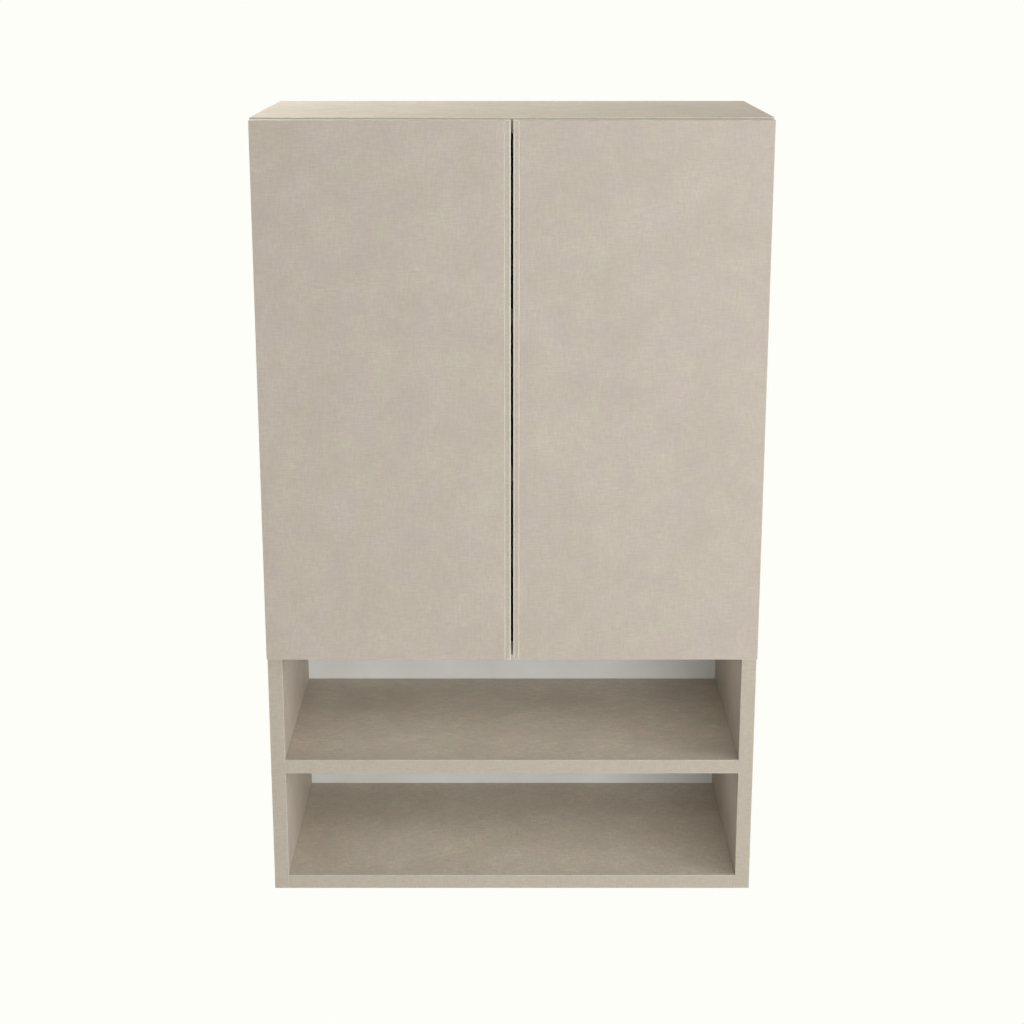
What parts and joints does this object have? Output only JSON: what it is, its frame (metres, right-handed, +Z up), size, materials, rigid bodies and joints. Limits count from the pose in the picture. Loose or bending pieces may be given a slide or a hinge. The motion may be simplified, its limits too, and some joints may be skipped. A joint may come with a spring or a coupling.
{
  "type": "hanging wall cabinet",
  "caption": "Wall-hung cabinet with two handleless full-overlay doors on concealed hinges above two open niches.",
  "frame": {"origin": "on the wall plane behind the cabinet, in the middle of its width, on the line of the wall rail screws, 45 mm below the top", "axes": "+Z up; -Y out of the wall, towards the person who uses the doors; +X to that person's right"},
  "size_m": [0.6, 0.33, 0.96],
  "materials": {
    "melamine_board": "matt greige melamine with a fine horizontal streak",
    "edge_band": "matt greige ABS edge band",
    "door_lipping": "matt greige solid lipping",
    "white_hardboard": "white lacquered hardboard",
    "beech_dowel": "fluted beech",
    "grey_plastic": "moulded grey nylon",
    "white_plastic": "moulded white plastic",
    "zinc_plated_steel": "zinc plated",
    "bright_steel": "bright steel",
    "nickel_plated_steel": "nickel plated"
  },
  "bodies": {
    "carcass": {"side_panel_left": "melamine_board", "side_panel_right": "melamine_board", "top_panel": "melamine_board", "cupboard_floor": "melamine_board", "niche_shelf": "melamine_board", "bottom_panel": "melamine_board", "back_panel": "white_hardboard", "side_edge_bands": "edge_band", "top_edge_bands": "edge_band", "board_edge_bands": "edge_band", "adjustable_shelf_lower": "melamine_board", "adjustable_shelf_upper": "melamine_board", "shelf_edge_bands": "edge_band", "shelf_pins": "bright_steel", "cam_locks": "zinc_plated_steel", "cam_bolts": "nickel_plated_steel", "wood_dowels": "beech_dowel", "wall_rail": "zinc_plated_steel", "hanger_housings": "grey_plastic", "hanger_hooks": "zinc_plated_steel", "hanger_screws": "nickel_plated_steel", "hinge_arms_left": "nickel_plated_steel", "hinge_arms_right": "nickel_plated_steel", "arm_pins": "bright_steel", "mounting_plates": "zinc_plated_steel", "plate_screws": "nickel_plated_steel", "hinge_adjusting_screws": "nickel_plated_steel", "latch_housings": "grey_plastic", "latch_screws": "nickel_plated_steel"},
    "inner_links_left": {"inner_links_left": "bright_steel"},
    "door_left": {"door_leaf_left": "melamine_board", "door_edge_bands_left": "edge_band", "door_lipping_left": "door_lipping", "hinge_cups_left": "nickel_plated_steel", "cup_pins_left": "bright_steel", "cup_screws_left": "nickel_plated_steel", "strike_plate_left": "zinc_plated_steel"},
    "outer_links_left": {"outer_links_left": "bright_steel"},
    "latch_plunger_left": {"latch_plunger_left": "white_plastic"},
    "inner_links_right": {"inner_links_right": "bright_steel"},
    "door_right": {"door_leaf_right": "melamine_board", "door_edge_bands_right": "edge_band", "door_lipping_right": "door_lipping", "hinge_cups_right": "nickel_plated_steel", "cup_pins_right": "bright_steel", "cup_screws_right": "nickel_plated_steel", "strike_plate_right": "zinc_plated_steel"},
    "outer_links_right": {"outer_links_right": "bright_steel"},
    "latch_plunger_right": {"latch_plunger_right": "white_plastic"}
  },
  "joints": [
    {"name": "inner_link_swing_left", "type": "hinge", "parent": "carcass", "child": "inner_links_left", "pos_m": [-0.265, -0.2969, 0], "axis": [0, 0, 1], "range_deg": [0, 21.1]},
    {"name": "door_turn_left", "type": "hinge", "parent": "inner_links_left", "child": "door_left", "pos_m": [-0.2894, -0.3153, 0], "axis": [0, 0, -1], "range_deg": [0, 115.9]},
    {"name": "outer_link_swing_left", "type": "hinge", "parent": "carcass", "child": "outer_links_left", "pos_m": [-0.2558, -0.3057, 0], "axis": [0, 0, 1], "range_deg": [0, 7.13]},
    {"name": "latch_plunger_left", "type": "slide", "parent": "carcass", "child": "latch_plunger_left", "axis": [0, -1, 0], "range_m": [0, 0.0381]},
    {"name": "inner_link_swing_right", "type": "hinge", "parent": "carcass", "child": "inner_links_right", "pos_m": [0.265, -0.2969, 0], "axis": [0, 0, -1], "range_deg": [0, 21.1]},
    {"name": "door_turn_right", "type": "hinge", "parent": "inner_links_right", "child": "door_right", "pos_m": [0.2894, -0.3153, 0], "axis": [0, 0, 1], "range_deg": [0, 115.9]},
    {"name": "outer_link_swing_right", "type": "hinge", "parent": "carcass", "child": "outer_links_right", "pos_m": [0.2558, -0.3057, 0], "axis": [0, 0, -1], "range_deg": [0, 7.13]},
    {"name": "latch_plunger_right", "type": "slide", "parent": "carcass", "child": "latch_plunger_right", "axis": [0, -1, 0], "range_m": [0, 0.0381]}
  ],
  "couplings": [
    {"joint": "inner_link_swing_left", "follows": "door_turn_left", "ratio": 0.18033},
    {"joint": "outer_link_swing_left", "follows": "door_turn_left", "ratio": 0.059836},
    {"joint": "latch_plunger_left", "follows": "door_turn_left", "m_per_rad": 0.018786},
    {"joint": "inner_link_swing_right", "follows": "door_turn_right", "ratio": 0.18033},
    {"joint": "outer_link_swing_right", "follows": "door_turn_right", "ratio": 0.059836},
    {"joint": "latch_plunger_right", "follows": "door_turn_right", "m_per_rad": 0.018786}
  ]
}
